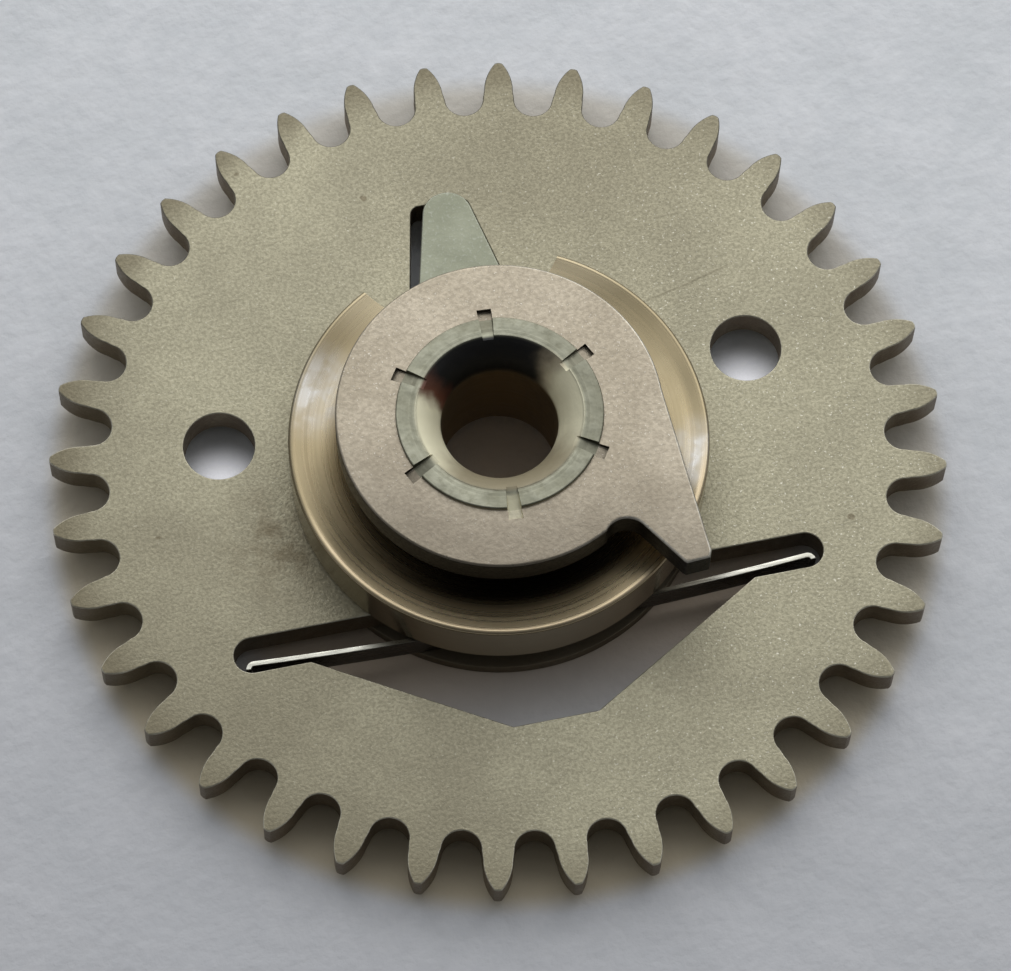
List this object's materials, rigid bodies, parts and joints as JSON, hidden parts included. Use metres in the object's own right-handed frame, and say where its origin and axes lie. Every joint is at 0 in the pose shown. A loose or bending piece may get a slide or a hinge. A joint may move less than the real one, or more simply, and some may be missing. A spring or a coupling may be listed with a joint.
{
  "type": "watch calendar driving wheel",
  "caption": "Toothed watch wheel on a staked hub with a date cam, a dished collar and a finger that a thin blade spring keeps centred in the wheel's slot.",
  "frame": {"origin": "on the axis of the bore, at the foot of the hub", "axes": "+Z along the axis from the hub's foot to the cam, +Y from the axis along the wheel's radial slot, so the blade spring lies on the -Y side"},
  "size_m": [0.0078, 0.0078, 0.0015],
  "materials": {
    "sandblasted_plate": "nickel-plated, fine matt blast",
    "spring_steel": "bright rolled edge",
    "turned_steel": "fine turned",
    "plain_steel": "satin",
    "satin_steel": "satin",
    "turned_plate": "bright turned, thinly plated",
    "matt_plate": "nickel-plated, matt"
  },
  "bodies": {
    "wheel": {"toothed_wheel": "sandblasted_plate", "blade_spring": "spring_steel"},
    "hub": {"hub_tube": "turned_steel", "retaining_washer": "plain_steel", "finger_plate": "satin_steel", "dished_collar": "turned_plate", "date_cam": "matt_plate"}
  },
  "joints": [
    {"name": "finger_turn", "type": "hinge", "parent": "wheel", "child": "hub", "pos_m": [0, 0, 0], "axis": [0, 0, 1], "range_deg": [-0.15, 2.55], "stiffness_Nm_per_rad": 0.00015, "springref_deg": 0.9}
  ]
}
